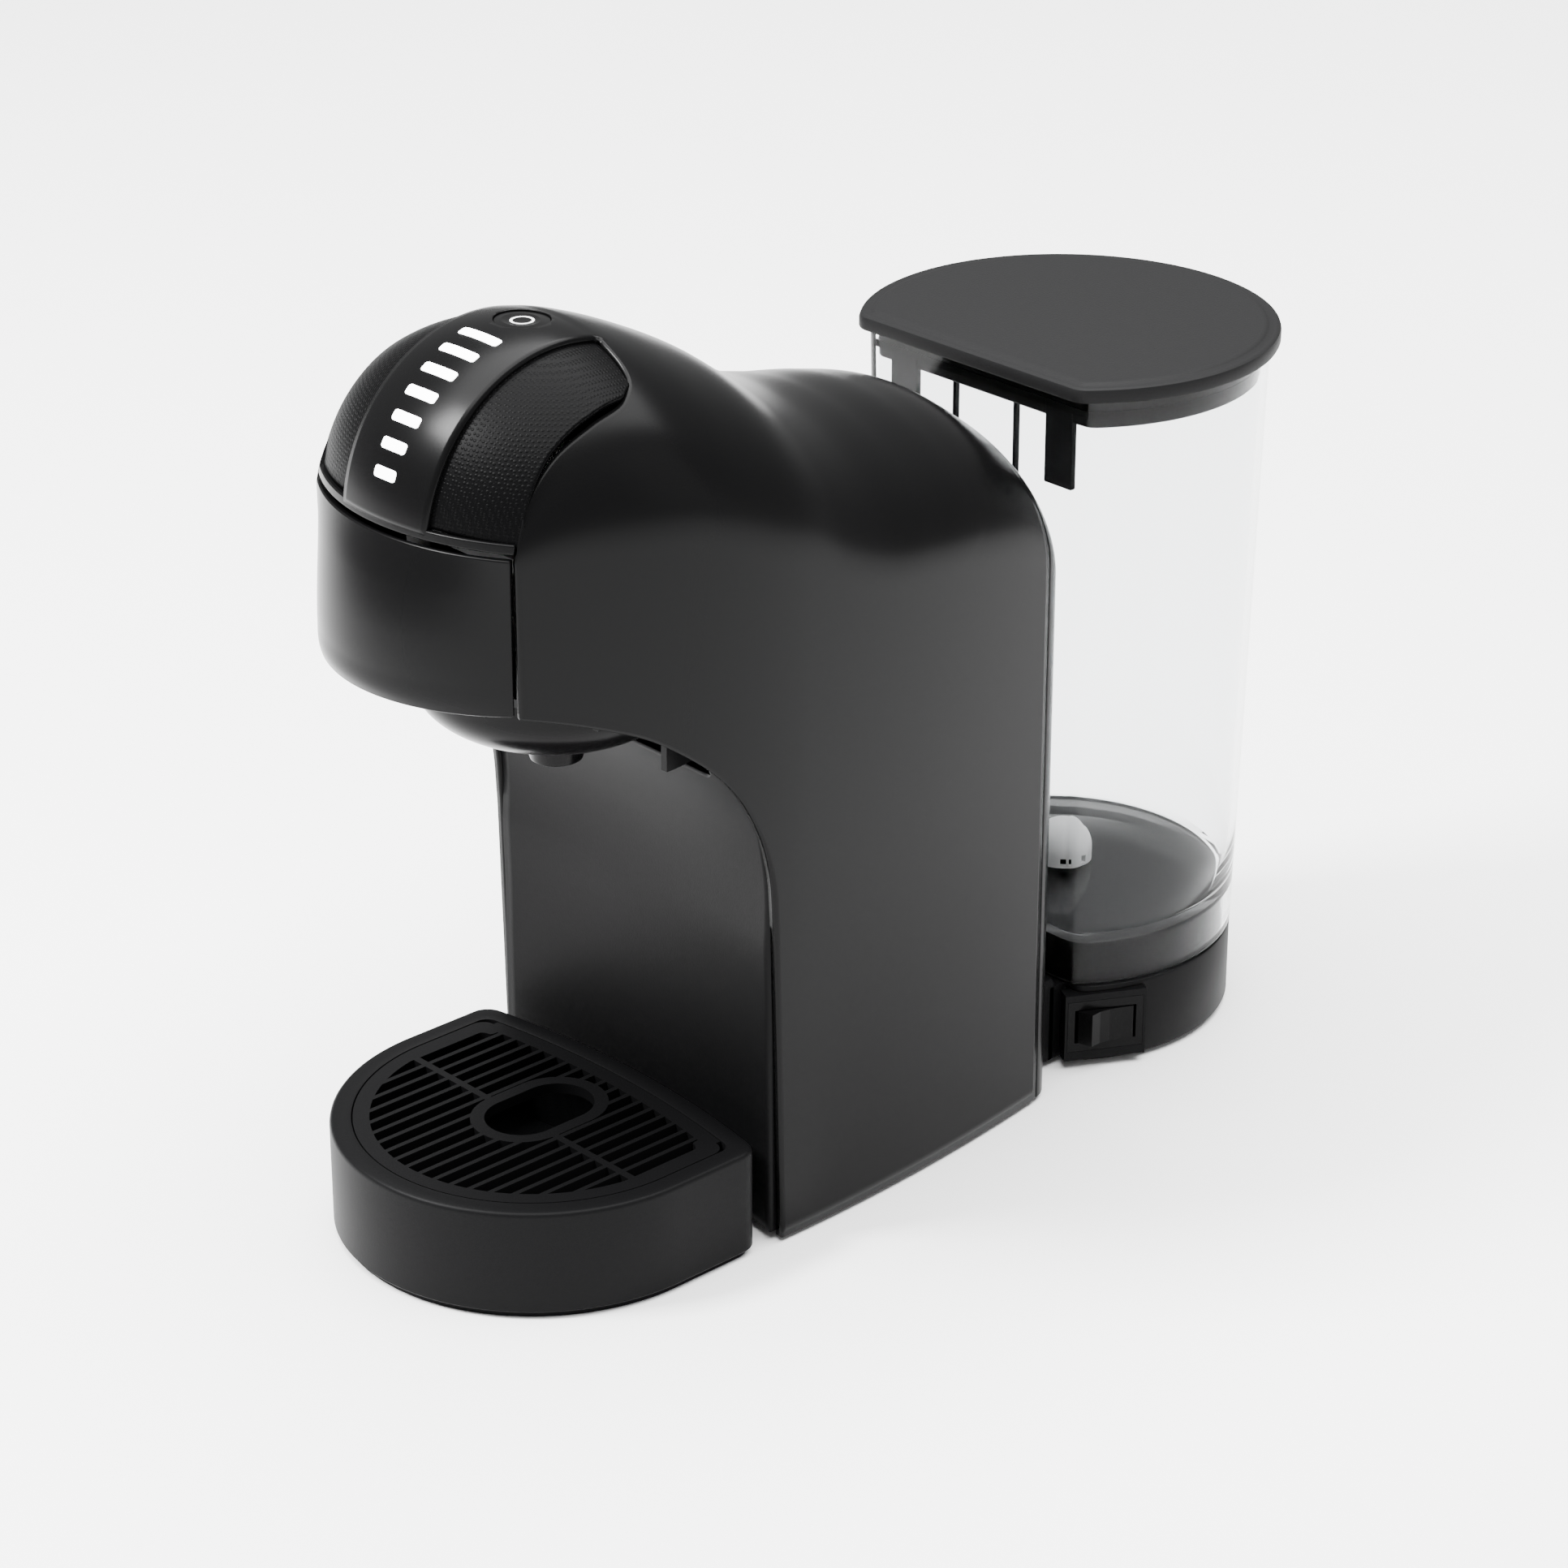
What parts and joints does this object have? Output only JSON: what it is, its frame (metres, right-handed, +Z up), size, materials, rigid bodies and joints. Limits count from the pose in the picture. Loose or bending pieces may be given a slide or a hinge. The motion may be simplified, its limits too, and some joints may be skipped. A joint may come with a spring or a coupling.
{
  "type": "pod coffee machine",
  "caption": "Slim pod coffee machine with a domed head, lifting front flap, sliding pod drawer, round drip tray, light strip and a removable rear water tank.",
  "frame": {"origin": "centre of the bounding box at the table surface", "axes": "+Z up, -Y the front with the flap and drip tray, +Y the rear with the water tank, +X the machine's right side seen from behind the flap, where the power switch is"},
  "size_m": [0.1208, 0.3212, 0.2602],
  "materials": {
    "shell_black": "satin black moulding",
    "grip_black": "fine dot texture",
    "matt_black": "fine spark-eroded grain",
    "lid_grey": "fine spark-eroded grain",
    "tank_clear": "clear polycarbonate, slightly smoky",
    "light_white": "milky diffuser",
    "inner_grey": "moulded, bare",
    "valve_white": "moulded, bare",
    "filter_grey": "moulded, bare",
    "rubber_black": "moulded",
    "silicone_red": "moulded silicone",
    "circuit_green": "solder mask",
    "steel": "turned and plated",
    "heater_alloy": "die cast",
    "pump_body": "varnished coil and plated yoke",
    "tube_white": "silicone hose",
    "mark_white": "pad print"
  },
  "bodies": {
    "machine": {"main_casing": "shell_black", "control_strip": "shell_black", "back_cover": "shell_black", "column_panel": "matt_black", "pod_dock": "matt_black", "grip_left": "grip_black", "grip_right": "grip_black", "light_guide": "light_white", "led_board": "circuit_green", "control_board": "circuit_green", "head_frame": "inner_grey", "base_plate": "matt_black", "chassis": "inner_grey", "feet": "rubber_black", "tank_base": "matt_black", "valve_seat": "valve_white", "switch_housing": "matt_black", "switch_bezel": "shell_black", "pump": "pump_body", "pump_mounts": "rubber_black", "thermoblock": "heater_alloy", "flow_meter": "valve_white", "water_tubes": "tube_white", "flap_pin": "steel", "casing_screws": "steel", "base_screws": "steel", "cord_inlet": "rubber_black", "button_spring": "steel"},
    "flap": {"front_flap": "shell_black", "flap_liner": "matt_black"},
    "injector": {"injector_head": "inner_grey", "needle": "steel", "pod_gasket": "silicone_red"},
    "pod_drawer": {"pod_holder": "shell_black", "pod_insert": "matt_black", "spout_nozzle": "shell_black"},
    "tray": {"drip_tray": "matt_black"},
    "grille": {"drip_grille": "matt_black"},
    "tank": {"water_tank": "tank_clear", "tank_filter": "filter_grey", "valve_spring": "steel"},
    "valve": {"valve_poppet": "valve_white", "poppet_seal": "rubber_black"},
    "lid": {"tank_lid": "lid_grey", "lid_seal": "rubber_black"},
    "power_rocker": {"rocker": "shell_black"},
    "button": {"start_button": "shell_black", "button_mark": "mark_white"}
  },
  "joints": [
    {"name": "flap_hinge", "type": "hinge", "parent": "machine", "child": "flap", "pos_m": [0, -0.1486, 0.213], "axis": [-1, 0, 0], "range_deg": [0, 80]},
    {"name": "injector_slide", "type": "slide", "parent": "machine", "child": "injector", "axis": [0, 0, 1], "range_m": [0, 0.0081]},
    {"name": "pod_drawer_slide", "type": "slide", "parent": "machine", "child": "pod_drawer", "axis": [0, -1, 0], "range_m": [0, 0.085]},
    {"name": "tray_slide", "type": "slide", "parent": "machine", "child": "tray", "axis": [0, -1, 0], "range_m": [0, 0.07]},
    {"name": "grille_lift", "type": "slide", "parent": "tray", "child": "grille", "axis": [0, 0, 1], "range_m": [0, 0.03]},
    {"name": "tank_lift", "type": "slide", "parent": "machine", "child": "tank", "axis": [0, 0, 1], "range_m": [0, 0.06]},
    {"name": "valve_lift", "type": "slide", "parent": "tank", "child": "valve", "axis": [0, 0, 1], "range_m": [0, 0.003], "stiffness_N_per_m": 100, "springref_m": -0.003, "deforming": ["valve_spring"]},
    {"name": "lid_lift", "type": "slide", "parent": "tank", "child": "lid", "axis": [0, 0, 1], "range_m": [0, 0.03]},
    {"name": "rocker_tilt", "type": "hinge", "parent": "machine", "child": "power_rocker", "pos_m": [0.04565, 0.07419, 0.014], "axis": [0, 0, -1], "range_deg": [0, 18]},
    {"name": "button_press", "type": "slide", "parent": "machine", "child": "button", "axis": [0, 0, -1], "range_m": [0, 0.0012], "stiffness_N_per_m": 400, "springref_m": -0.001, "deforming": ["button_spring"]}
  ],
  "couplings": [
    {"joint": "injector_slide", "follows": "flap_hinge", "m_per_rad": 0.0057}
  ]
}
